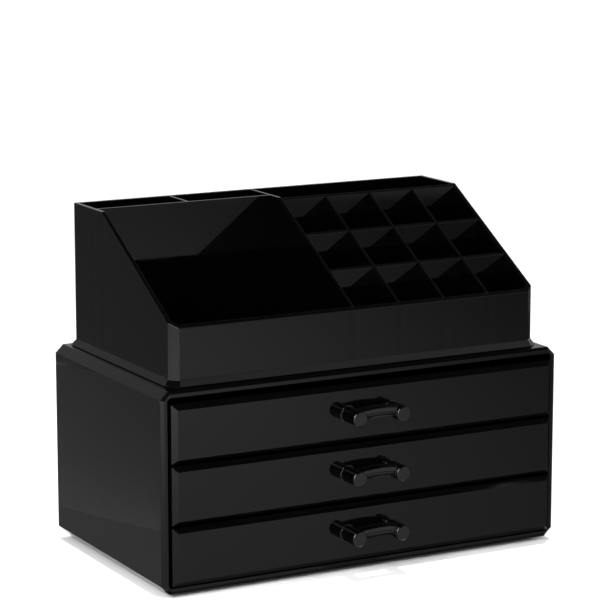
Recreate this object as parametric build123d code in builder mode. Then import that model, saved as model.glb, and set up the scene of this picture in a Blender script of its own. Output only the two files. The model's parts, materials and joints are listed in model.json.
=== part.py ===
from build123d import *
import math
import os

# A desk organizer: a low chest of three full-width drawers with a separate open tray standing on it.
# Millimetres, Z up, with the handles towards -Y. The origin is on the floor, midway between the chest's
# two sides and midway between its back and the ends of the handles.

backwards = (0, 1, 0)

# Chest
chest_width = 240.0
chest_depth = 135.0
chest_height = 107.6        # of the shell, without the plinth under it
long_chamfer = 4.5          # on the four long edges
shell_wall = 2.4
mouth_frame = 3.5           # width of the thicker frame round the open front
mouth_frame_depth = 4.0
mouth_bevel = 1.6           # outer bevel of that frame
mouth_corner = 1.3          # chamfer in its inner corners
plinth_height = 2.6
plinth_inset = 12.4         # from the chest's sides
plinth_setback = 9.0        # from its front and back
plinth_rail = 5.0
plinth_chamfer = 1.0
back_thickness = 2.2
back_recess = 0.8           # the back panel lies this far inside the shell

# Drawers
front_gap = 1.2             # between one front and the next
front_side_gap = 1.3        # from the ends of a front to the mouth's frame
front_rise = 1.3            # from the frame up to the bottom drawer's front
front_head_gap = 3.3        # from the top drawer's front up to the frame
front_edge = 2.5            # straight part of a front's edge
front_bevel = 2.6
front_wall = 2.0
front_behind = 1.0          # how far a front reaches behind the plane of the mouth
bin_wall = 1.8
bin_floor = 1.8
bin_lift = 1.5              # from a front's lower edge to its bin's underside
bin_drop = 3.7              # from a front's upper edge to its bin's rim
bin_corner = 5.0
lip_height = 2.0            # side lips that the bin hangs by
runner_reach = 4.4          # from the shell's wall
runner_height = 3.0
runner_lead = 1.2           # lead-in at a runner's front end
slide_gap = 0.3             # lip above runner
side_gap = 0.8              # bin to runner
back_gap = 0.5              # closed bin to back panel

# Handles and their screws
handle_pitch = 26.4
post_diameter = 8.4
post_length = 13.5
post_chamfer = 0.6
bar_height = 5.4
bar_depth = 5.4
bar_drop = 1.4              # bar's lower edge below the middle of the posts
bar_arch = 1.1              # rise of the bar between the posts
bar_inset = 1.6             # bar's face behind the ends of the posts
bar_round = 3.8             # on the bar's upper front edge
screw_diameter = 2.9
screw_bite = 9.0
head_diameter = 6.2
head_height = 1.9
socket_width = 2.0
socket_depth = 1.1
screw_clearance = 0.25      # in the plates that the screw passes through
pilot_clearance = 0.04      # in the post that it bites
pilot_spare = 1.0
pad_wall = 2.2              # solid plastic round the screws, behind a front

# Tray
tray_width = 221.2
tray_depth = 121.0
tray_height = 79.1
tray_corner = 4.5           # on its two front corners
tray_gap = 0.3              # between chest and tray
foot_width = 6.0            # of the rim that the tray stands on
foot_recess = 0.6           # in the underside within that rim
skirt_height = 3.3
skirt_flare = 2.3
tray_floor = 2.2
wall_top = 2.3              # tray wall at its top edge
wall_foot = 2.7             # and where it meets the floor
plate = 1.6                 # inner walls and fins
rim_height = 30.3           # front rim above the tray's underside
slope_start = 84.4          # from the tray's front to where its sides turn down
centre_wall_x = -3.0
left_cross_wall_y = 95.0    # cross walls, from the tray's front
right_cross_wall_y = 83.0
rear_divider_x = -54.0
cell_depth = 28.0           # of a cell in the raised rows, below the wall in front of it
halving_depth = 14.0        # of the slots where fins and rack walls cross

# Levels and places that follow
drawer_names = ["bottom_drawer", "middle_drawer", "top_drawer"]
front_thickness = front_edge + front_bevel
chest_centre = (front_thickness - front_behind + post_length) / 2
chest_front = chest_centre - chest_depth / 2
chest_back = chest_centre + chest_depth / 2
chest_top = plinth_height + chest_height
chest_middle = plinth_height + chest_height / 2
back_face = chest_back - back_recess - back_thickness
mouth_width = chest_width - 2 * mouth_frame
mouth_height = chest_height - 2 * mouth_frame
front_width = mouth_width - 2 * front_side_gap
front_height = (mouth_height - front_rise - front_head_gap - 2 * front_gap) / len(drawer_names)
lowest_front = plinth_height + mouth_frame + front_rise
drawer_pitch = front_height + front_gap
front_back = chest_front + front_behind
front_face = front_back - front_thickness
bin_height = front_height - bin_lift - bin_drop
bin_width = chest_width - 2 * shell_wall - 2 * runner_reach - 2 * side_gap
bin_depth = back_face - back_gap - front_back
bin_middle = front_back + bin_depth / 2
lip_top = bin_lift + bin_height
lip_under = lip_top - lip_height
runner_top = lip_under - slide_gap
pad_height = screw_diameter + 2 * pad_wall
tray_under = chest_top + tray_gap
tray_top = tray_under + tray_height
tray_front = chest_centre - tray_depth / 2
tray_back = chest_centre + tray_depth / 2
floor_top = tray_under + tray_floor
rim_top = tray_under + rim_height
slope_top_y = tray_front + slope_start
slope = (tray_top - rim_top) / slope_start
left_cross_y = tray_front + left_cross_wall_y
right_cross_y = tray_front + right_cross_wall_y

# The rack fills the space between centre wall, right cross wall and the tray's own walls
rack_left = centre_wall_x + plate / 2
rack_right = tray_width / 2 - wall_foot
rack_front = tray_front + wall_foot
rack_back = right_cross_y - plate / 2
column_pitch = (rack_right - rack_left + plate) / 4
row_pitch = (rack_back - rack_front + plate) / 3
fin_places = {
    "rack_fin_left": rack_left - plate / 2 + column_pitch,
    "rack_fin_middle": rack_left - plate / 2 + 2 * column_pitch,
    "rack_fin_right": rack_left - plate / 2 + 3 * column_pitch,
}
front_wall_y = rack_front - plate / 2 + row_pitch
rear_wall_y = front_wall_y + row_pitch


def slope_height(y):
    """Height of the tray's sloping edges at y."""
    return rim_top + slope * (y - tray_front)


middle_step_top = slope_height(front_wall_y) - cell_depth
rear_step_top = slope_height(rear_wall_y) - cell_depth


def across(y):
    """The upright plane at y, drawn on in X and Z, whose extrusions go to -Y."""
    return Plane.XZ.offset(-y)


def lengthwise(x):
    """The upright plane at x, drawn on in Y and Z, whose extrusions go to +X."""
    return Plane.YZ.offset(x)


def save(piece, name):
    """Label a finished piece and write its file."""
    piece.part.label = name
    export_step(piece.part, f"parts/{name}.step")


def mitred(corner, inset):
    """The leg of a corner chamfer once the outline round it is drawn inwards by inset."""
    return corner - inset * (2 - math.sqrt(2))


def chest_outline(y, inset, corner):
    """The chest's outline on the plane at y, drawn inwards by inset and chamfered at its corners."""
    with BuildSketch(across(y)) as outline:
        with Locations((0, chest_middle)):
            Rectangle(chest_width - 2 * inset, chest_height - 2 * inset)
        chamfer(outline.vertices(), corner)
    return outline.sketch


os.makedirs("parts", exist_ok=True)

# Chest: a sleeve with a framed mouth, standing on a plinth ring
inner_corner = mitred(long_chamfer, shell_wall)
with BuildPart() as case_shell:
    add(chest_outline(chest_front, mouth_bevel, mitred(long_chamfer, mouth_bevel)))
    add(chest_outline(chest_front + mouth_bevel, 0, long_chamfer))
    loft(ruled=True)
    sleeve = chest_outline(chest_front + mouth_bevel, 0, long_chamfer)
    extrude(sleeve, amount=chest_depth - mouth_bevel, dir=backwards)
    mouth = chest_outline(chest_front, mouth_frame, mouth_corner)
    extrude(mouth, amount=chest_depth, dir=backwards, mode=Mode.SUBTRACT)
    hollow = chest_outline(chest_front + mouth_frame_depth, shell_wall, inner_corner)
    extrude(hollow, amount=chest_depth, dir=backwards, mode=Mode.SUBTRACT)
    with BuildSketch(Plane.XY.offset(plinth_height)):
        with Locations((0, chest_centre)):
            Rectangle(chest_width - 2 * plinth_inset, chest_depth - 2 * plinth_setback)
    extrude(amount=-plinth_height)
    chamfer(faces().sort_by(Axis.Z)[0].edges(), plinth_chamfer)
    with BuildSketch():
        with Locations((0, chest_centre)):
            Rectangle(
                chest_width - 2 * (plinth_inset + plinth_rail),
                chest_depth - 2 * (plinth_setback + plinth_rail),
            )
    extrude(amount=plinth_height, mode=Mode.SUBTRACT)
save(case_shell, "case_shell")

with BuildPart() as case_back:
    extrude(chest_outline(back_face, shell_wall, inner_corner), amount=back_thickness, dir=backwards)
save(case_back, "case_back")

# Runners: a strip on each side wall for each drawer, with a lead-in at its front end
runner_front = chest_front + mouth_frame_depth
runner_x = chest_width / 2 - shell_wall - runner_reach / 2
with BuildPart() as drawer_runners:
    for level in range(len(drawer_names)):
        top = lowest_front + level * drawer_pitch + runner_top
        with BuildSketch(Plane.XY.offset(top)):
            with Locations((0, (runner_front + back_face) / 2)):
                with GridLocations(2 * runner_x, 0, 2, 1):
                    Rectangle(runner_reach, back_face - runner_front)
        extrude(amount=-runner_height)
    lead_edges = edges().filter_by(Axis.Z).group_by(Axis.Y)[0]
    inner_lead_edges = lead_edges.sort_by(lambda edge: abs(edge.center().X))[: 2 * len(drawer_names)]
    chamfer(inner_lead_edges, runner_lead)
save(drawer_runners, "drawer_runners")


def screw_places(base):
    """Where the two screws of the drawer at this level pass, in X and Z."""
    height = base + front_height / 2
    return [(-handle_pitch / 2, height), (handle_pitch / 2, height)]


def make_bin(base):
    """An open moulded box, spot faced for the screws' heads, that hangs by a lip along each side."""
    with BuildPart() as piece:
        with BuildSketch(Plane.XY.offset(base + bin_lift)) as outline:
            with Locations((0, bin_middle)):
                Rectangle(bin_width, bin_depth)
            fillet(outline.vertices().group_by(Axis.Y)[-1], bin_corner)
        extrude(amount=bin_height)
        with BuildSketch(Plane.XY.offset(base + lip_under)) as lip_outline:
            with Locations((0, bin_middle)):
                Rectangle(front_width, bin_depth)
            fillet(lip_outline.vertices().group_by(Axis.Y)[-1], bin_corner)
        extrude(amount=lip_height)
        with BuildSketch(Plane.XY.offset(base + lip_top)) as hollow:
            with Locations((0, bin_middle)):
                Rectangle(bin_width - 2 * bin_wall, bin_depth - 2 * bin_wall)
            fillet(hollow.vertices(), bin_corner - bin_wall)
        extrude(amount=-(bin_height - bin_floor), mode=Mode.SUBTRACT)
        with BuildSketch(across(front_back)):
            with Locations(*screw_places(base)):
                Circle(screw_diameter / 2 + screw_clearance)
        extrude(amount=-2 * bin_wall, mode=Mode.SUBTRACT)
        with BuildSketch(across(front_back + bin_wall)):
            with Locations(*screw_places(base)):
                Circle(head_diameter / 2 + screw_clearance)
        extrude(amount=-bin_wall, mode=Mode.SUBTRACT)
    return piece


def make_front(base):
    """A bevelled front, hollow behind, with a solid pad round the screws."""
    with BuildPart() as piece:
        with BuildSketch(across(front_back)):
            with Locations((0, base + front_height / 2)):
                Rectangle(front_width, front_height)
        extrude(amount=front_thickness)
        chamfer(faces().sort_by(Axis.Y)[0].edges(), front_bevel)
        with BuildSketch(across(front_back)):
            with Locations((0, base + front_height / 2)):
                Rectangle(front_width - 2 * front_wall, front_height - 2 * front_wall)
                Rectangle(handle_pitch + pad_height, pad_height, mode=Mode.SUBTRACT)
        extrude(amount=front_edge, mode=Mode.SUBTRACT)
        with BuildSketch(across(front_back)):
            with Locations(*screw_places(base)):
                Circle(screw_diameter / 2 + screw_clearance)
        extrude(amount=front_thickness, mode=Mode.SUBTRACT)
    return piece


def make_bar(base):
    """The bar between two posts: it arches up a little, and its upper front edge is round."""
    under = base + front_height / 2 - bar_drop
    above = under + bar_height
    end_x = handle_pitch / 2
    with BuildPart() as piece:
        with BuildSketch(across(front_face - post_length + bar_inset + bar_depth)):
            with BuildLine():
                ThreePointArc((-end_x, under), (0, under + bar_arch), (end_x, under))
                Line((end_x, under), (end_x, above))
                ThreePointArc((end_x, above), (0, above + bar_arch), (-end_x, above))
                Line((-end_x, above), (-end_x, under))
            make_face()
        extrude(amount=bar_depth)
        front_arcs = edges().filter_by(GeomType.CIRCLE).group_by(Axis.Y)[0]
        fillet(front_arcs.sort_by(Axis.Z)[-1], bar_round)
    return piece


def make_handle(base):
    """Two round posts and the bar between them, with a blind pilot hole in each post."""
    bar = make_bar(base)
    with BuildPart() as piece:
        with BuildSketch(across(front_face)):
            with Locations(*screw_places(base)):
                Circle(post_diameter / 2)
        extrude(amount=post_length)
        post_rims = edges().filter_by(GeomType.CIRCLE).group_by(Axis.Y)[0]
        chamfer(post_rims, post_chamfer)
        add(bar.part)
        with BuildSketch(across(front_face)):
            with Locations(*screw_places(base)):
                Circle(screw_diameter / 2 + pilot_clearance)
        extrude(amount=screw_bite + pilot_spare, mode=Mode.SUBTRACT)
    return piece


def make_screws(base):
    """The pair of screws that hold handle, front and bin together."""
    head_seat = front_back + bin_wall
    with BuildPart() as piece:
        with BuildSketch(across(head_seat)):
            with Locations(*screw_places(base)):
                Circle(screw_diameter / 2)
        extrude(amount=bin_wall + front_thickness + screw_bite)
        with BuildSketch(across(head_seat)):
            with Locations(*screw_places(base)):
                Circle(head_diameter / 2)
        extrude(amount=-head_height)
        with BuildSketch(across(head_seat + head_height)):
            with Locations(*screw_places(base)):
                RegularPolygon(socket_width / 2, 6)
        extrude(amount=socket_depth, mode=Mode.SUBTRACT)
    return piece


for level, drawer in enumerate(drawer_names):
    level_base = lowest_front + level * drawer_pitch
    save(make_bin(level_base), f"{drawer}_bin")
    save(make_front(level_base), f"{drawer}_front")
    save(make_handle(level_base), f"{drawer}_handle")
    save(make_screws(level_base), f"{drawer}_screws")


def tray_outline(z, grow):
    """The tray's outline at one height, grown outwards, or inwards where grow is negative."""
    with BuildSketch(Plane.XY.offset(z)) as outline:
        with Locations((0, chest_centre)):
            Rectangle(tray_width + 2 * grow, tray_depth + 2 * grow)
        chamfer(outline.vertices().group_by(Axis.Y)[0], mitred(tray_corner, -grow))
    return outline.sketch


# Shapes that the tray's pieces share: its inner space with the draft of the walls, and all above the slope
with BuildPart() as tray_space:
    add(tray_outline(floor_top, -wall_foot))
    add(tray_outline(tray_top, -wall_top))
    loft(ruled=True)

with BuildPart() as above_slope:
    with BuildSketch(lengthwise(-tray_width)):
        with BuildLine():
            Polyline(
                (slope_top_y, tray_top),
                (tray_front, rim_top),
                (tray_front - tray_corner, rim_top),
                (tray_front - tray_corner, tray_top + tray_corner),
                (slope_top_y, tray_top + tray_corner),
                close=True,
            )
        make_face()
    extrude(amount=2 * tray_width)

with BuildPart() as tray_shell:
    add(tray_outline(tray_under, 0))
    extrude(amount=tray_height)
    add(tray_outline(tray_under, skirt_flare))
    add(tray_outline(tray_under + skirt_height, 0))
    loft(ruled=True)
    add(tray_space.part, mode=Mode.SUBTRACT)
    add(above_slope.part, mode=Mode.SUBTRACT)
    with BuildSketch(Plane.XY.offset(tray_under)):
        with Locations((0, chest_centre)):
            Rectangle(tray_width - 2 * foot_width, tray_depth - 2 * foot_width)
    extrude(amount=foot_recess, mode=Mode.SUBTRACT)
save(tray_shell, "tray_shell")


def inner_plate(x_span, y_span, z_from, z_to):
    """A plate inside the tray, cut to its drafted walls and to the slope."""
    with BuildPart() as piece:
        add(tray_space.part)
        with BuildSketch(Plane.XY.offset(z_from)):
            with Locations((sum(x_span) / 2, sum(y_span) / 2)):
                Rectangle(x_span[1] - x_span[0], y_span[1] - y_span[0])
        extrude(amount=z_to - z_from, mode=Mode.INTERSECT)
        add(above_slope.part, mode=Mode.SUBTRACT)
    return piece


def thick(centre):
    """The two faces of an inner plate whose middle is at centre."""
    return (centre - plate / 2, centre + plate / 2)


tray_left_side = (-tray_width / 2, centre_wall_x - plate / 2)
tray_right_side = (rack_left, tray_width / 2)
behind_left_cross = (left_cross_y + plate / 2, tray_back)

centre_wall = inner_plate(thick(centre_wall_x), (tray_front, tray_back), floor_top, tray_top)
save(centre_wall, "centre_wall")
left_cross_wall = inner_plate(tray_left_side, thick(left_cross_y), floor_top, tray_top)
save(left_cross_wall, "left_cross_wall")
right_cross_wall = inner_plate(tray_right_side, thick(right_cross_y), floor_top, tray_top)
save(right_cross_wall, "right_cross_wall")
rear_divider = inner_plate(thick(rear_divider_x), behind_left_cross, floor_top, tray_top)
save(rear_divider, "rear_divider")

# Raised floors of the second and third row of cells
middle_step_span = (front_wall_y + plate / 2, rear_wall_y - plate / 2)
middle_step = inner_plate(tray_right_side, middle_step_span, middle_step_top - plate, middle_step_top)
save(middle_step, "rack_step_middle")
rear_step_span = (rear_wall_y + plate / 2, rack_back)
rear_step = inner_plate(tray_right_side, rear_step_span, rear_step_top - plate, rear_step_top)
save(rear_step, "rack_step_rear")


def make_rack_wall(y):
    """A wall between two rows, with a slot from above for each fin."""
    wall = inner_plate(tray_right_side, thick(y), floor_top, tray_top)
    with BuildPart() as piece:
        add(wall.part)
        with BuildSketch(Plane.XY.offset(slope_height(y) - halving_depth)):
            for x in fin_places.values():
                with Locations((x, y)):
                    Rectangle(plate, 2 * plate)
        extrude(amount=tray_height, mode=Mode.SUBTRACT)
    return piece


save(make_rack_wall(front_wall_y), "rack_wall_front")
save(make_rack_wall(rear_wall_y), "rack_wall_rear")


def make_fin(x):
    """A fin from front to back that stands on the three floors and has a slot from below at each wall."""
    front_notch = slope_height(front_wall_y) - halving_depth
    rear_notch = slope_height(rear_wall_y) - halving_depth
    blank = inner_plate(thick(x), (tray_front, rack_back), floor_top, tray_top)
    with BuildPart() as piece:
        add(blank.part)
        with BuildSketch(lengthwise(x - plate)):
            with BuildLine():
                Polyline(
                    (front_wall_y - plate / 2, floor_top),
                    (front_wall_y - plate / 2, front_notch),
                    (front_wall_y + plate / 2, front_notch),
                    (front_wall_y + plate / 2, middle_step_top),
                    (rear_wall_y - plate / 2, middle_step_top),
                    (rear_wall_y - plate / 2, rear_notch),
                    (rear_wall_y + plate / 2, rear_notch),
                    (rear_wall_y + plate / 2, rear_step_top),
                    (rack_back, rear_step_top),
                    (rack_back, floor_top),
                    close=True,
                )
            make_face()
        extrude(amount=2 * plate, mode=Mode.SUBTRACT)
    return piece


for fin, place in fin_places.items():
    save(make_fin(place), fin)
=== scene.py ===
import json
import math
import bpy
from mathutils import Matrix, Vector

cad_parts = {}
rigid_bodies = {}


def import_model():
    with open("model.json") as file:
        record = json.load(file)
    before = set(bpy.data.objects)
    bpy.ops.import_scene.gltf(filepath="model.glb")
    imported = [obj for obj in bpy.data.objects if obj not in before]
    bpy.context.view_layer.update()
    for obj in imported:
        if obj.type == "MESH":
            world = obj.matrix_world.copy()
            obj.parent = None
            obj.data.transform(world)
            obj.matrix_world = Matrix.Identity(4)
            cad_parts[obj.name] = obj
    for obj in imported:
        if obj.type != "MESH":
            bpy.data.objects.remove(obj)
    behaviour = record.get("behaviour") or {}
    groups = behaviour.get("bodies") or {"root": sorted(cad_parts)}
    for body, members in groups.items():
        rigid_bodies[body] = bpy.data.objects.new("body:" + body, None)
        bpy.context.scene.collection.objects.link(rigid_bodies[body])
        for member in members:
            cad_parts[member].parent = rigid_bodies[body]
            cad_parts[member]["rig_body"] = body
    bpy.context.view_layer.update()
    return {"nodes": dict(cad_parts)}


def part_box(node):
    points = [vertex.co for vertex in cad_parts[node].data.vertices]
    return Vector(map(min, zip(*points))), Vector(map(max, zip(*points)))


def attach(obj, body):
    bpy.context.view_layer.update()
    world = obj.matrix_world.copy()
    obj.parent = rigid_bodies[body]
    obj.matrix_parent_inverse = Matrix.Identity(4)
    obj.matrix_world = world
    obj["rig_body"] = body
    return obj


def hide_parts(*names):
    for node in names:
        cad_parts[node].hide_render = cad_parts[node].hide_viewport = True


bl_info = {
    "name": "Makeup organizer",
    "version": (1, 0, 0),
    "blender": (4, 5, 0),
    "location": "View3D > Sidebar > Organizer",
    "description": "Dresses a drawer chest and its open tray as glossy moulded plastic",
    "category": "Object",
}

import bmesh
import bpy
from mathutils import Matrix, Vector

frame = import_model()

DRAWERS = ("top_drawer", "middle_drawer", "bottom_drawer")
RACK_FINS = ("rack_fin_left", "rack_fin_middle", "rack_fin_right")
RACK_WALLS = ("rack_wall_front", "rack_wall_rear")
RACK_STEPS = ("rack_step_middle", "rack_step_rear")
CROSS_WALLS = ("left_cross_wall", "right_cross_wall")

# The plastic's marks, in cycles per metre
PIGMENT_SCALE = 60
SMEAR_SCALE = 28
WIPE_SCALE = 420
WAVE_SCALE = 9
RIPPLE_SCALE = 160

# How far the pigment strays from its colour, and how wiping draws out its hairlines
PIGMENT_DARK = 0.8
PIGMENT_LIGHT = 1.25
WIPE_STRETCH = (1, 1, 0.04)

# Hairlines as a share of the smears, and ripples as a share of the waves
WIPE_SHARE = 0.5
RIPPLE_SHARE = 0.01

# The screws' steel
STEEL_DARK = (0.12, 0.12, 0.125, 1)
STEEL_LIGHT = (0.3, 0.3, 0.31, 1)
STEEL_TONE_SCALE = 900
STEEL_POLISH_SCALE = 1800

# Meshes: what is welded, what counts as flat, and which edges are rounded
WELD_DISTANCE = 2e-6
FLAT_ANGLE = math.radians(0.4)
SHARP_ANGLE = math.radians(25)
FACE_WEIGHT = 100
PLACE_TOLERANCE = 1e-5

# Handles: the bar's face stops short of the posts, and is cut into spans before it leans
BAR_CLEARANCE = 0.0003
BAR_SPANS = 12
CUT_DISTANCE = 1e-6

# A face whose normal points down further than this is the bar's underside
UNDERSIDE = -0.6

# Steps of a fillet between the drawer's front and the post's side
FILLET_LEVELS = 4

# Surroundings, for a direction of length 1: where its Y and Z blend one brightness into the next
WALL_BLEND = 0.3
WALL_TOP = 0.64
CEILING_EDGE = 0.86

# The floor's paper
FLOOR_CELLS = 8
FLOOR_ROUGHNESS = 0.9

# Where the overhead light hangs, and what the lights face
OVERHEAD_PLACE = (0, 0, 3)
FLOOR_MIDDLE = (0, 0, 0)
DRAWERS_MIDDLE = (0, 0, 0.06)
TRAY_FOOT = (0, 0, 0.1)

# Camera: the sensor in millimetres, and how far it sees in metres
SENSOR_WIDTH = 36
CAMERA_REACH = 100


class PlasticSettings(bpy.types.PropertyGroup):
    """Finish of the moulded plastic."""

    colour: bpy.props.FloatVectorProperty(
        name="Colour", description="Colour of the plastic itself", subtype="COLOR",
        size=3, min=0, max=1, default=(0.0007, 0.00065, 0.00075),
    )
    refraction: bpy.props.FloatProperty(
        name="Refraction", description="Index of refraction, which sets how strongly it mirrors",
        min=1, max=2, default=1.19,
    )
    handle_refraction: bpy.props.FloatProperty(
        name="Handle refraction",
        description="Index of refraction of the handles, which are polished brighter",
        min=1, max=2, default=1.25,
    )
    roughness: bpy.props.FloatProperty(
        name="Roughness", description="Roughness of a clean polished face",
        min=0, max=1, default=0.035,
    )
    smears: bpy.props.FloatProperty(
        name="Smears", description="Roughness that handling adds in patches",
        min=0, max=1, default=0.05,
    )
    waviness: bpy.props.FloatProperty(
        name="Waviness", description="Height of the slow waves that moulding leaves in a face",
        unit="LENGTH", min=0, max=0.001, default=0.000006, precision=6,
    )
    sink_depth: bpy.props.FloatProperty(
        name="Sink depth", description="Depth of the hollow that a wall leaves on the outside",
        unit="LENGTH", min=0, max=0.001, default=0.00004, precision=6,
    )
    sink_width: bpy.props.FloatProperty(
        name="Sink width", description="Half width of that hollow",
        unit="LENGTH", min=0.001, max=0.02, default=0.004, precision=4,
    )


class EdgeSettings(bpy.types.PropertyGroup):
    """Roundings that the mould leaves on sharp edges."""

    outer: bpy.props.FloatProperty(
        name="Outer edges", description="Rounding of the chest's, the fronts' and the tray's edges",
        unit="LENGTH", min=0, max=0.002, default=0.00035, precision=5,
    )
    thin: bpy.props.FloatProperty(
        name="Thin edges", description="Rounding of wall tops, fins and small parts",
        unit="LENGTH", min=0, max=0.001, default=0.00025, precision=5,
    )
    segments: bpy.props.IntProperty(
        name="Segments", description="Steps in each rounding", min=1, max=6, default=3,
    )


class HandleSettings(bpy.types.PropertyGroup):
    """Fillets round the feet of the handles' posts, and the lean of the bars' faces."""

    post_diameter: bpy.props.FloatProperty(
        name="Post", description="Diameter of a handle's post",
        unit="LENGTH", min=0.001, max=0.02, default=0.0084, precision=4,
    )
    bar_inset: bpy.props.FloatProperty(
        name="Bar inset", description="From the ends of the posts to the bar's face",
        unit="LENGTH", min=0, max=0.01, default=0.0016, precision=4,
    )
    bar_round: bpy.props.FloatProperty(
        name="Bar round", description="Depth of the rounding over the bar's face",
        unit="LENGTH", min=0.001, max=0.01, default=0.0038, precision=4,
    )
    lip_lean: bpy.props.FloatProperty(
        name="Lip lean", description="How far the face leans back at the foot of that rounding",
        unit="LENGTH", min=0, max=0.001, default=0.00028, precision=5,
    )
    fillet: bpy.props.FloatProperty(
        name="Fillet", description="Radius of the fillet round a post's foot",
        unit="LENGTH", min=0, max=0.002, default=0.0006, precision=4,
    )
    steps: bpy.props.IntProperty(
        name="Steps", description="Steps round a post's foot", min=12, max=96, default=56,
    )


class StudioSettings(bpy.types.PropertyGroup):
    """Floor and surroundings."""

    floor_size: bpy.props.FloatProperty(
        name="Floor", description="Side of the square floor",
        unit="LENGTH", min=1, max=40, default=16,
    )
    floor_colour: bpy.props.FloatVectorProperty(
        name="Floor colour", description="Colour of the floor", subtype="COLOR",
        size=3, min=0, max=1, default=(0.9, 0.9, 0.9),
    )
    wall_behind: bpy.props.FloatProperty(
        name="Wall behind", description="Brightness of the surroundings behind the organizer",
        min=0, max=5, default=0.6,
    )
    wall_ahead: bpy.props.FloatProperty(
        name="Wall ahead", description="Brightness of the surroundings in front of it",
        min=0, max=5, default=0.35,
    )
    ceiling: bpy.props.FloatProperty(
        name="Ceiling", description="Brightness of the dark ceiling", min=0, max=5, default=0.05,
    )


class LightSettings(bpy.types.PropertyGroup):
    """Lamps of the studio."""

    overhead: bpy.props.FloatProperty(
        name="Overhead light", description="Strength of the even light from above",
        min=0, max=50, default=2.8,
    )
    overhead_spread: bpy.props.FloatProperty(
        name="Spread", description="Angle that the even light covers", subtype="ANGLE",
        min=0, max=3, default=math.radians(3),
    )
    front_power: bpy.props.FloatProperty(
        name="Front light", description="Power of the lamp over the floor well in front",
        subtype="POWER", min=0, default=4.6,
    )
    front_place: bpy.props.FloatVectorProperty(
        name="Front light place", description="Place of that lamp", subtype="XYZ", unit="LENGTH",
        size=3, default=(-0.12, -0.72, 0.4),
    )
    left_power: bpy.props.FloatProperty(
        name="Left light", description="Power of the lamp over the floor at the front left",
        subtype="POWER", min=0, default=4.4,
    )
    left_place: bpy.props.FloatVectorProperty(
        name="Left light place", description="Place of that lamp", subtype="XYZ", unit="LENGTH",
        size=3, default=(-0.54, -0.32, 0.35),
    )
    lamp_size: bpy.props.FloatProperty(
        name="Lamp size", description="Diameter of those two lamps",
        unit="LENGTH", min=0.05, max=3, default=0.25,
    )
    right_radiance: bpy.props.FloatProperty(
        name="Right light", description="Brightness of the softbox at the front right",
        min=0, default=1.7,
    )
    right_width: bpy.props.FloatProperty(
        name="Right light width", description="Width of that softbox",
        unit="LENGTH", min=0.05, max=3, default=1.0,
    )
    right_height: bpy.props.FloatProperty(
        name="Right light height", description="Height of that softbox",
        unit="LENGTH", min=0.05, max=3, default=1.5,
    )
    right_place: bpy.props.FloatVectorProperty(
        name="Right light place", description="Place of that softbox", subtype="XYZ",
        unit="LENGTH", size=3, default=(0.96, -1.15, 0.95),
    )
    strip_radiance: bpy.props.FloatProperty(
        name="Strip light", description="Brightness of the strip that leans at the front left",
        min=0, default=20,
    )
    strip_width: bpy.props.FloatProperty(
        name="Strip width", description="Width of that strip",
        unit="LENGTH", min=0.05, max=3, default=0.1,
    )
    strip_foot: bpy.props.FloatVectorProperty(
        name="Strip foot", description="Middle of the strip's lower edge", subtype="XYZ",
        unit="LENGTH", size=3, default=(-0.8, -0.54, 0.1),
    )
    strip_head: bpy.props.FloatVectorProperty(
        name="Strip head", description="Middle of the strip's upper edge", subtype="XYZ",
        unit="LENGTH", size=3, default=(-0.42, -0.49, 0.78),
    )


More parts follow.
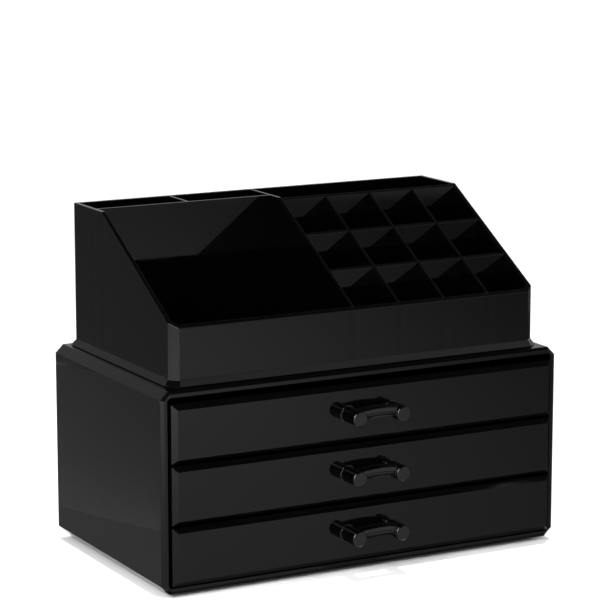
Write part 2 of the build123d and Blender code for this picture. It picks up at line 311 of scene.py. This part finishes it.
class CardSettings(bpy.types.PropertyGroup):
    """Painted reflections: matt cards that only show in reflections, and so set the tones of the
    glossy faces, partly as painted shade.
    """

    # Side card: a painted reflection of grey card that darkens the chest's left side, seen only in
    # reflections.
    side_place: bpy.props.FloatVectorProperty(
        name="Side card", description="Place of the card that stands along the chest's left side",
        subtype="XYZ", unit="LENGTH", size=3, default=(-0.166, 0.078, 0.043),
    )
    side_length: bpy.props.FloatProperty(
        name="Side card length", description="Length of that card",
        unit="LENGTH", min=0.01, max=2, default=0.36,
    )
    side_turn: bpy.props.FloatProperty(
        name="Side card turn", description="Turn of that card about the upright",
        subtype="ANGLE", default=math.radians(-21.9),
    )
    side_grey: bpy.props.FloatProperty(
        name="Side card grey", description="Share of the light that it returns",
        min=0, max=1, default=0.61,
    )
    # Black card: a painted dark reflection that the fronts' right bevels mirror, which keeps them
    # dark.
    black_place: bpy.props.FloatVectorProperty(
        name="Black card", description="Place of the long card that the right bevels mirror",
        subtype="XYZ", unit="LENGTH", size=3, default=(0.489, 0.1925, 0.001),
    )
    black_size: bpy.props.FloatVectorProperty(
        name="Black card size", description="Length and width of that card",
        unit="LENGTH", size=2, min=0.01, max=2, default=(0.872, 0.04),
    )
    black_turn: bpy.props.FloatProperty(
        name="Black card turn", description="Turn of that card",
        subtype="ANGLE", default=math.radians(34.1),
    )
    black_grey: bpy.props.FloatProperty(
        name="Black card grey", description="Share of the light that it returns",
        min=0, max=1, default=0.02,
    )
    # Near card: a painted reflection, darker than the floor it lies on, in the lowest part of the
    # chest's left side.
    near_place: bpy.props.FloatVectorProperty(
        name="Near card", description="Place of the card that lies beside the chest's left side",
        subtype="XYZ", unit="LENGTH", size=3, default=(-0.18025, 0.12, 0.001),
    )
    near_size: bpy.props.FloatVectorProperty(
        name="Near card size", description="Width and depth of that card",
        unit="LENGTH", size=2, min=0.01, max=2, default=(0.1195, 0.358),
    )
    near_grey: bpy.props.FloatProperty(
        name="Near card grey", description="Share of the light that it returns",
        min=0, max=1, default=0.28,
    )
    # Far card: painted shade on the floor behind at the left, seen only in the tray's left side.
    far_place: bpy.props.FloatVectorProperty(
        name="Far card", description="Place of the card that the tray's left side mirrors",
        subtype="XYZ", unit="LENGTH", size=3, default=(-0.475, 0.8, 0.001),
    )
    far_size: bpy.props.FloatVectorProperty(
        name="Far card size", description="Width and depth of that card",
        unit="LENGTH", size=2, min=0.01, max=2, default=(0.35, 1),
    )
    far_grey: bpy.props.FloatProperty(
        name="Far card grey", description="Share of the light that it returns",
        min=0, max=1, default=0.165,
    )
    # Foot card: painted shade under the overhang of the lowest front, seen only in its lower bevel
    # and the chest's bottom edge.
    foot_place: bpy.props.FloatVectorProperty(
        name="Foot card", description="Place of the card under the overhang of the lowest front",
        subtype="XYZ", unit="LENGTH", size=3, default=(0, -0.056, 0.001),
    )
    foot_size: bpy.props.FloatVectorProperty(
        name="Foot card size", description="Width and depth of that card",
        unit="LENGTH", size=2, min=0.01, max=2, default=(0.236, 0.016),
    )
    foot_grey: bpy.props.FloatProperty(
        name="Foot card grey", description="Share of the light that it returns",
        min=0, max=1, default=0.1,
    )
    # Fading card: painted shade that deepens towards the front right, seen only in the fronts'
    # right ends and the tray's front.
    fading_place: bpy.props.FloatVectorProperty(
        name="Fading card", description="Place of the card at the front right, which darkens",
        subtype="XYZ", unit="LENGTH", size=3, default=(0.488, -0.408, 0.0005),
    )
    fading_size: bpy.props.FloatVectorProperty(
        name="Fading card size", description="Width and depth of that card",
        unit="LENGTH", size=2, min=0.01, max=2, default=(0.8, 1.3),
    )
    fading_turn: bpy.props.FloatProperty(
        name="Fading card turn", description="Turn of that card",
        subtype="ANGLE", default=math.radians(19.9),
    )
    fading_length: bpy.props.FloatProperty(
        name="Fading length", description="From its left edge to where it is darkest",
        unit="LENGTH", min=0.01, max=2, default=0.42,
    )
    fading_grey: bpy.props.FloatProperty(
        name="Fading card grey", description="Share of the light that its dark end returns",
        min=0, max=1, default=0.29,
    )


class CameraSettings(bpy.types.PropertyGroup):
    """The photograph's viewing angle."""

    place: bpy.props.FloatVectorProperty(
        name="Camera", description="Place of the camera", subtype="XYZ", unit="LENGTH",
        size=3, default=(-0.675, -1.2294, 0.4068),
    )
    yaw: bpy.props.FloatProperty(
        name="Yaw", description="Turn of the camera to the right",
        subtype="ANGLE", default=math.radians(28.478),
    )
    pitch: bpy.props.FloatProperty(
        name="Pitch", description="Tilt of the camera downwards",
        subtype="ANGLE", default=math.radians(10.882),
    )
    lens: bpy.props.FloatProperty(
        name="Lens", description="Focal length of the camera",
        subtype="DISTANCE_CAMERA", min=10, max=500, default=157.2,
    )


SETTINGS = {
    "organizer_plastic": PlasticSettings,
    "organizer_edges": EdgeSettings,
    "organizer_handles": HandleSettings,
    "organizer_studio": StudioSettings,
    "organizer_lights": LightSettings,
    "organizer_cards": CardSettings,
    "organizer_camera": CameraSettings,
}


def middle(node):
    """The middle of a node's box."""
    low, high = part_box(node)
    return (low + high) / 2


def coordinates(tree, kind="Object"):
    """The sockets X, Y and Z of a point on a piece, or of a direction with kind Generated."""
    source = tree.nodes.new("ShaderNodeTexCoord")
    split = tree.nodes.new("ShaderNodeSeparateXYZ")
    tree.links.new(source.outputs[kind], split.inputs[0])
    return split.outputs


def math_node(tree, operation, first, second=0.0):
    """A math node whose inputs are sockets or plain numbers."""
    node = tree.nodes.new("ShaderNodeMath")
    node.operation = operation
    for socket, value in zip(node.inputs, (first, second)):
        if isinstance(value, (int, float)):
            socket.default_value = value
        else:
            tree.links.new(value, socket)
    return node.outputs[0]


def noise(tree, scale, detail, stretch=(1, 1, 1)):
    """Fractal noise over the piece, with its scale in cycles per metre."""
    source = tree.nodes.new("ShaderNodeTexCoord")
    mapping = tree.nodes.new("ShaderNodeMapping")
    mapping.inputs["Scale"].default_value = stretch
    texture = tree.nodes.new("ShaderNodeTexNoise")
    texture.inputs["Scale"].default_value = scale
    texture.inputs["Detail"].default_value = detail
    tree.links.new(source.outputs["Object"], mapping.inputs["Vector"])
    tree.links.new(mapping.outputs["Vector"], texture.inputs["Vector"])
    return texture.outputs["Fac"]


def ranged(tree, value, low, high, to_low, to_high):
    """Value, from low to high, mapped smoothly to another range."""
    node = tree.nodes.new("ShaderNodeMapRange")
    node.interpolation_type = "SMOOTHSTEP"
    node.inputs["From Min"].default_value = low
    node.inputs["From Max"].default_value = high
    node.inputs["To Min"].default_value = to_low
    node.inputs["To Max"].default_value = to_high
    tree.links.new(value, node.inputs["Value"])
    return node.outputs["Result"]


def ramp(tree, value, dark, light):
    """A colour between dark and light."""
    node = tree.nodes.new("ShaderNodeValToRGB")
    node.color_ramp.elements[0].color = dark
    node.color_ramp.elements[1].color = light
    tree.links.new(value, node.inputs["Fac"])
    return node.outputs["Color"]


def sink_relief(tree, height, sink_marks):
    """The relief with a hollow over each wall that meets the face from behind."""
    plastic = bpy.context.scene.organizer_plastic
    across = coordinates(tree)
    for axis, place in sink_marks:
        offset = math_node(tree, "SUBTRACT", across[axis], place)
        distance = math_node(tree, "ABSOLUTE", offset)
        hollow = ranged(tree, distance, 0, plastic.sink_width, plastic.sink_depth, 0)
        height = math_node(tree, "SUBTRACT", height, hollow)
    return height


def gloss_plastic(name, refraction, sink_marks=()):
    """Polished black plastic with slow moulding waves, faint smears and sink marks.

    A sink mark is (axis, place): the line where that coordinate has that value, in metres.
    """
    if name in bpy.data.materials:
        return bpy.data.materials[name]
    plastic = bpy.context.scene.organizer_plastic
    material = bpy.data.materials.new(name)
    material.use_nodes = True
    tree = material.node_tree
    shader = tree.nodes["Principled BSDF"]
    shader.inputs["IOR"].default_value = refraction

    # Colour: the pigment is a little uneven
    dark = (*(PIGMENT_DARK * channel for channel in plastic.colour), 1)
    light = (*(PIGMENT_LIGHT * channel for channel in plastic.colour), 1)
    pigment = ramp(tree, noise(tree, PIGMENT_SCALE, detail=4), dark, light)
    tree.links.new(pigment, shader.inputs["Base Color"])

    # Roughness: polished, with smears in patches and hairline wiping marks
    patches = noise(tree, SMEAR_SCALE, detail=5)
    smears = ranged(tree, patches, low=0.45, high=0.75, to_low=0, to_high=plastic.smears)
    hairlines = noise(tree, WIPE_SCALE, detail=3, stretch=WIPE_STRETCH)
    roughest = WIPE_SHARE * plastic.smears
    wipes = ranged(tree, hairlines, low=0.58, high=0.8, to_low=0, to_high=roughest)
    marks = math_node(tree, "ADD", smears, wipes)
    rough = math_node(tree, "ADD", marks, plastic.roughness)
    tree.links.new(rough, shader.inputs["Roughness"])

    # Relief: slow waves with fine ripples, and the sink marks
    waves = math_node(tree, "MULTIPLY", noise(tree, WAVE_SCALE, detail=1.5), plastic.waviness)
    fine = noise(tree, RIPPLE_SCALE, detail=2)
    ripples = math_node(tree, "MULTIPLY", fine, RIPPLE_SHARE * plastic.waviness)
    height = math_node(tree, "ADD", waves, ripples)
    if sink_marks:
        height = sink_relief(tree, height, sink_marks)
    bump = tree.nodes.new("ShaderNodeBump")
    bump.inputs["Strength"].default_value = 1
    bump.inputs["Distance"].default_value = 1
    tree.links.new(height, bump.inputs["Height"])
    tree.links.new(bump.outputs["Normal"], shader.inputs["Normal"])
    return material


def plain_plastic():
    """The polished plastic of every piece without sink marks."""
    return gloss_plastic("gloss_black_plastic", bpy.context.scene.organizer_plastic.refraction)


def handle_plastic():
    """The brighter polished plastic of the handles."""
    refraction = bpy.context.scene.organizer_plastic.handle_refraction
    return gloss_plastic("gloss_black_handle", refraction)


def tray_plastic():
    """The tray's polished plastic, with sink marks along its walls and fins."""
    marks = [("X", middle(node).x) for node in (*RACK_FINS, "centre_wall")]
    marks += [("Y", middle(node).y) for node in CROSS_WALLS]
    refraction = bpy.context.scene.organizer_plastic.refraction
    return gloss_plastic("gloss_black_tray", refraction, marks)


def blackened_steel():
    """Blackened screw steel, uneven in tone and in polish."""
    material = bpy.data.materials.new("blackened_steel")
    material.use_nodes = True
    tree = material.node_tree
    shader = tree.nodes["Principled BSDF"]
    shader.inputs["Metallic"].default_value = 1
    tone = ramp(tree, noise(tree, STEEL_TONE_SCALE, detail=4), STEEL_DARK, STEEL_LIGHT)
    tree.links.new(tone, shader.inputs["Base Color"])
    uneven = noise(tree, STEEL_POLISH_SCALE, detail=3)
    rough = ranged(tree, uneven, low=0.3, high=0.7, to_low=0.25, to_high=0.45)
    tree.links.new(rough, shader.inputs["Roughness"])
    return material


def matt_paper(name, colour, roughness=1):
    """Paper or card without any shine."""
    material = bpy.data.materials.new(name)
    material.use_nodes = True
    shader = material.node_tree.nodes["Principled BSDF"]
    shader.inputs["Base Color"].default_value = (*colour, 1)
    shader.inputs["Roughness"].default_value = roughness
    shader.inputs["Specular IOR Level"].default_value = 0
    return material


def moulded(node, rounding, material):
    """A piece with a node's faces, its sharp edges rounded as the mould leaves them."""
    source = frame["nodes"][node]
    mesh = bpy.data.meshes.new(node + "_mesh")
    sheet = bmesh.new()
    sheet.from_mesh(source.data)
    bmesh.ops.remove_doubles(sheet, verts=sheet.verts, dist=WELD_DISTANCE)
    bmesh.ops.dissolve_limit(
        sheet, angle_limit=FLAT_ANGLE, verts=sheet.verts, edges=sheet.edges, delimit={"NORMAL"},
    )
    sheet.to_mesh(mesh)
    sheet.free()
    piece = bpy.data.objects.new("moulded_" + node, mesh)
    bpy.context.scene.collection.objects.link(piece)
    mesh.materials.append(material)
    for polygon in mesh.polygons:
        polygon.use_smooth = True
        polygon.material_index = 0
    bevel = piece.modifiers.new("edge_rounding", "BEVEL")
    bevel.width = rounding
    bevel.segments = bpy.context.scene.organizer_edges.segments
    bevel.limit_method = "ANGLE"
    bevel.angle_limit = SHARP_ANGLE
    bevel.use_clamp_overlap = True
    weighting = piece.modifiers.new("flat_faces_stay_flat", "WEIGHTED_NORMAL")
    weighting.weight = FACE_WEIGHT
    weighting.keep_sharp = True
    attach(piece, source["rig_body"])
    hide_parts(node)
    return piece


def lean_face(piece, node):
    """Lean back the face of a handle's bar, which keeps its lower edge."""
    handles = bpy.context.scene.organizer_handles
    low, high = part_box(node)
    face = low.y + handles.bar_inset
    reach = high.x - handles.post_diameter - BAR_CLEARANCE
    sheet = bmesh.new()
    sheet.from_mesh(piece.data)
    for cut in range(BAR_SPANS + 1):
        across = (2 * cut / BAR_SPANS - 1) * reach
        bmesh.ops.bisect_plane(
            sheet, geom=[*sheet.verts, *sheet.edges, *sheet.faces], dist=CUT_DISTANCE,
            plane_co=(across, 0, 0), plane_no=(1, 0, 0),
        )
    sheet.normal_update()
    for point in sheet.verts:
        depth = point.co.y - face
        on_bar = abs(point.co.x) < reach + PLACE_TOLERANCE
        on_face = -PLACE_TOLERANCE < depth < handles.bar_round
        underside = any(side.normal.z < UNDERSIDE for side in point.link_faces)
        if on_bar and on_face and not underside:
            point.co.y += handles.lip_lean * (1 - depth / handles.bar_round)
    sheet.to_mesh(piece.data)
    sheet.free()


def fillet_rings(sheet, foot, radius):
    """The rings of a fillet round a post's foot, from the drawer's front up to the post's side."""
    handles = bpy.context.scene.organizer_handles
    rings = []
    for level in range(FILLET_LEVELS + 1):
        turn = level / FILLET_LEVELS * math.pi / 2
        out = radius + handles.fillet * (1 - math.sin(turn))
        rise = handles.fillet * (1 - math.cos(turn))
        ring = []
        for step in range(handles.steps):
            angle = 2 * math.pi * step / handles.steps
            offset = Vector((out * math.cos(angle), -rise, out * math.sin(angle)))
            ring.append(sheet.verts.new(foot + offset))
        rings.append(ring)
    return rings


def post_fillets(drawer, material):
    """The fillets where a handle's two posts meet the drawer's front."""
    handles = bpy.context.scene.organizer_handles
    node = drawer + "_handle"
    low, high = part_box(node)
    radius = handles.post_diameter / 2
    sheet = bmesh.new()
    for side in (-1, 1):
        foot = Vector((side * (high.x - radius), high.y, low.z + radius))
        rings = fillet_rings(sheet, foot, radius)
        for lower, upper in zip(rings, rings[1:]):
            for step in range(handles.steps):
                after = (step + 1) % handles.steps
                corners = (lower[step], lower[after], upper[after], upper[step])
                sheet.faces.new(corners).smooth = True
    bmesh.ops.recalc_face_normals(sheet, faces=sheet.faces)
    mesh = bpy.data.meshes.new(drawer + "_post_fillets_mesh")
    sheet.to_mesh(mesh)
    sheet.free()
    mesh.materials.append(material)
    piece = bpy.data.objects.new(drawer + "_post_fillets", mesh)
    bpy.context.scene.collection.objects.link(piece)
    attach(piece, frame["nodes"][node]["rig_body"])


def flat_sheet(name, size, material, cells=1):
    """A flat sheet of the studio round its origin, in cells by cells faces."""
    mesh = bpy.data.meshes.new(name + "_mesh")
    sheet = bmesh.new()
    bmesh.ops.create_grid(sheet, x_segments=cells, y_segments=cells, size=0.5)
    bmesh.ops.scale(sheet, vec=(*size, 1), verts=sheet.verts)
    sheet.to_mesh(mesh)
    sheet.free()
    mesh.materials.append(material)
    piece = bpy.data.objects.new(name, mesh)
    bpy.context.scene.collection.objects.link(piece)
    return piece


def painted_reflection_card(name, grey, size, place, turn=(0, 0, 0)):
    """A painted reflection: a sheet of matt card that the camera, shadows and soft light pass, and
    only reflections show.
    """
    card = flat_sheet(name, size, matt_paper(name, (grey, grey, grey)))
    card.location = place
    card.rotation_euler = turn
    card.visible_camera = False
    card.visible_shadow = False
    card.visible_diffuse = False
    return card


def fade_painted_shade(card, width, length, grey, end_grey):
    """Painted shade: let a card run from grey to end_grey over a length from its left edge."""
    tree = card.data.materials[0].node_tree
    left = -width / 2
    tone = ranged(tree, coordinates(tree)["X"], left, left + length, grey, end_grey)
    tree.links.new(tone, tree.nodes["Principled BSDF"].inputs["Base Color"])


def lay_floor():
    """The plain pale floor."""
    studio = bpy.context.scene.organizer_studio
    paper = matt_paper("floor_paper", studio.floor_colour, FLOOR_ROUGHNESS)
    flat_sheet("floor", (studio.floor_size, studio.floor_size), paper, FLOOR_CELLS)


def surround():
    """Plain walls, brighter behind the organizer than in front of it, and a dark ceiling."""
    studio = bpy.context.scene.organizer_studio
    world = bpy.data.worlds.new("surroundings")
    world.use_nodes = True
    tree = world.node_tree
    direction = coordinates(tree, "Generated")
    ahead, behind = studio.wall_ahead, studio.wall_behind
    wall = ranged(tree, direction["Y"], -WALL_BLEND, WALL_BLEND, ahead, behind)
    share = ranged(tree, direction["Z"], WALL_TOP, CEILING_EDGE, 1, 0)
    lit_wall = math_node(tree, "MULTIPLY", wall, share)
    strength = math_node(tree, "ADD", lit_wall, studio.ceiling)
    background = tree.nodes["Background"]
    background.inputs["Color"].default_value = (1, 1, 1, 1)
    tree.links.new(strength, background.inputs["Strength"])
    bpy.context.scene.world = world
    bpy.context.scene.view_settings.view_transform = "Standard"


def softbox(name, radiance, width, height):
    """A rectangular lamp whose face has that radiance, whatever its size."""
    lamp = bpy.data.lights.new(name, "AREA")
    lamp.shape = "RECTANGLE"
    lamp.size = width
    lamp.size_y = height
    lamp.energy = radiance * math.pi * width * height
    return lamp


def place_light(lamp, place, aim):
    """A lamp at a place, turned towards its aim."""
    light = bpy.data.objects.new(lamp.name, lamp)
    light.location = place
    light.rotation_euler = (Vector(aim) - Vector(place)).to_track_quat("-Z", "Y").to_euler()
    bpy.context.scene.collection.objects.link(light)


def lean_strip(lights):
    """A long narrow softbox that leans at the front left, facing the drawers."""
    foot, head = Vector(lights.strip_foot), Vector(lights.strip_head)
    centre = (foot + head) / 2
    length = (head - foot).length
    along = (head - foot).normalized()
    facing = Vector(DRAWERS_MIDDLE) - centre
    facing = (facing - facing.dot(along) * along).normalized()
    lamp = softbox("strip_light", lights.strip_radiance, lights.strip_width, length)
    light = bpy.data.objects.new("strip_light", lamp)
    turn = Matrix((along.cross(-facing), along, -facing)).transposed().to_4x4()
    light.matrix_world = Matrix.Translation(centre) @ turn
    bpy.context.scene.collection.objects.link(light)


def hang_lights():
    """Even light from above, two round lamps over the floor, a softbox and a leaning strip."""
    lights = bpy.context.scene.organizer_lights
    overhead = bpy.data.lights.new("overhead", "SUN")
    overhead.energy = lights.overhead
    overhead.angle = lights.overhead_spread
    place_light(overhead, OVERHEAD_PLACE, FLOOR_MIDDLE)
    round_lamps = (
        ("front_light", lights.front_power, lights.front_place),
        ("left_light", lights.left_power, lights.left_place),
    )
    for name, power, place in round_lamps:
        lamp = bpy.data.lights.new(name, "AREA")
        lamp.shape = "DISK"
        lamp.size = lights.lamp_size
        lamp.energy = power
        place_light(lamp, place, (place[0], place[1], 0))
    right = softbox("right_light", lights.right_radiance, lights.right_width, lights.right_height)
    place_light(right, lights.right_place, TRAY_FOOT)
    lean_strip(lights)


def lay_cards():
    """The six painted reflections: one card stands along the chest's left side, and the others lie
    on the floor.
    """
    cards = bpy.context.scene.organizer_cards
    # Each card is a painted reflection: the side, black and near cards paint darker reflections,
    # and the far, foot and fading cards paint shade.
    side_height = 2 * cards.side_place[2]
    upright = (0, math.pi / 2, cards.side_turn)
    side_size = (side_height, cards.side_length)
    painted_reflection_card("painted_reflection_side_card", cards.side_grey, side_size, cards.side_place, upright)
    black_turn = (0, 0, cards.black_turn)
    painted_reflection_card("painted_reflection_black_card", cards.black_grey, cards.black_size, cards.black_place, black_turn)
    painted_reflection_card("painted_reflection_near_card", cards.near_grey, cards.near_size, cards.near_place)
    painted_reflection_card("painted_shade_far_card", cards.far_grey, cards.far_size, cards.far_place)
    painted_reflection_card("painted_shade_foot_card", cards.foot_grey, cards.foot_size, cards.foot_place)
    # The fading card starts at the floor's grey and darkens into painted shade towards its right
    # end.
    floor_grey = bpy.context.scene.organizer_studio.floor_colour[0]
    fading_turn = (0, 0, cards.fading_turn)
    card = painted_reflection_card(
        "painted_shade_fading_card", floor_grey, cards.fading_size, cards.fading_place, fading_turn,
    )
    fade_painted_shade(card, cards.fading_size[0], cards.fading_length, floor_grey, cards.fading_grey)


def set_camera():
    """The camera, at the photograph's viewing angle."""
    view = bpy.context.scene.organizer_camera
    camera = bpy.data.objects.new("camera", bpy.data.cameras.new("camera"))
    camera.location = view.place
    camera.rotation_euler = (math.pi / 2 - view.pitch, 0, -view.yaw)
    camera.data.lens = view.lens
    camera.data.sensor_width = SENSOR_WIDTH
    camera.data.clip_end = CAMERA_REACH
    bpy.context.scene.collection.objects.link(camera)
    bpy.context.scene.camera = camera


class ORGANIZER_OT_studio(bpy.types.Operator):
    """Lay the pale floor and set the soft lights, the cards of painted reflection and shade, and
    the camera
    """

    bl_idname = "organizer.studio"
    bl_label = "Studio"

    def execute(self, context):
        lay_floor()
        surround()
        hang_lights()
        lay_cards()
        set_camera()
        return {"FINISHED"}


class ORGANIZER_OT_chest(bpy.types.Operator):
    """Dress the chest's shell, back and runners"""

    bl_idname = "organizer.chest"
    bl_label = "Chest"

    def execute(self, context):
        edges = context.scene.organizer_edges
        moulded("case_shell", edges.outer, plain_plastic())
        moulded("case_back", edges.thin, plain_plastic())
        moulded("drawer_runners", edges.thin, plain_plastic())
        return {"FINISHED"}


class ORGANIZER_OT_drawers(bpy.types.Operator):
    """Dress the bins and bevelled fronts of the three drawers"""

    bl_idname = "organizer.drawers"
    bl_label = "Drawers"

    def execute(self, context):
        edges = context.scene.organizer_edges
        for drawer in DRAWERS:
            moulded(drawer + "_bin", edges.thin, plain_plastic())
            moulded(drawer + "_front", edges.outer, plain_plastic())
        return {"FINISHED"}


class ORGANIZER_OT_handles(bpy.types.Operator):
    """Dress the handles and the screws that hold them"""

    bl_idname = "organizer.handles"
    bl_label = "Handles"

    def execute(self, context):
        edges = context.scene.organizer_edges
        steel = blackened_steel()
        for drawer in DRAWERS:
            node = drawer + "_handle"
            handle = moulded(node, edges.thin, handle_plastic())
            lean_face(handle, node)
            post_fillets(drawer, handle_plastic())
            moulded(drawer + "_screws", edges.thin / 2, steel)
        return {"FINISHED"}


class ORGANIZER_OT_tray(bpy.types.Operator):
    """Dress the tray's shell and its compartment walls"""

    bl_idname = "organizer.tray"
    bl_label = "Tray"

    def execute(self, context):
        edges = context.scene.organizer_edges
        moulded("tray_shell", edges.outer, tray_plastic())
        for wall in ("centre_wall", "rear_divider", *CROSS_WALLS):
            moulded(wall, edges.thin, plain_plastic())
        return {"FINISHED"}


class ORGANIZER_OT_rack(bpy.types.Operator):
    """Dress the walls, steps and fins of the lipstick rack"""

    bl_idname = "organizer.rack"
    bl_label = "Lipstick rack"

    def execute(self, context):
        edges = context.scene.organizer_edges
        for node in (*RACK_WALLS, *RACK_STEPS, *RACK_FINS):
            moulded(node, edges.thin, plain_plastic())
        return {"FINISHED"}


class ORGANIZER_PT_panel(bpy.types.Panel):
    """Sizes, colours and steps of the organizer"""

    bl_label = "Makeup organizer"
    bl_idname = "ORGANIZER_PT_panel"
    bl_space_type = "VIEW_3D"
    bl_region_type = "UI"
    bl_category = "Organizer"

    def draw(self, context):
        for name in SETTINGS:
            box = self.layout.box()
            group = getattr(context.scene, name)
            for key in group.__annotations__:
                box.prop(group, key)
        for step in STEPS:
            self.layout.operator(step.bl_idname)


STEPS = (
    ORGANIZER_OT_studio,
    ORGANIZER_OT_chest,
    ORGANIZER_OT_drawers,
    ORGANIZER_OT_handles,
    ORGANIZER_OT_tray,
    ORGANIZER_OT_rack,
)


def register():
    for name, group in SETTINGS.items():
        bpy.utils.register_class(group)
        setattr(bpy.types.Scene, name, bpy.props.PointerProperty(type=group))
    for step in STEPS:
        bpy.utils.register_class(step)
    bpy.utils.register_class(ORGANIZER_PT_panel)


def unregister():
    bpy.utils.unregister_class(ORGANIZER_PT_panel)
    for step in reversed(STEPS):
        bpy.utils.unregister_class(step)
    for name, group in SETTINGS.items():
        delattr(bpy.types.Scene, name)
        bpy.utils.unregister_class(group)


def main():
    """Register the add-on and make every piece."""
    register()
    bpy.ops.organizer.studio()
    bpy.ops.organizer.chest()
    bpy.ops.organizer.drawers()
    bpy.ops.organizer.handles()
    bpy.ops.organizer.tray()
    bpy.ops.organizer.rack()


if __name__ == "__main__":
    main()
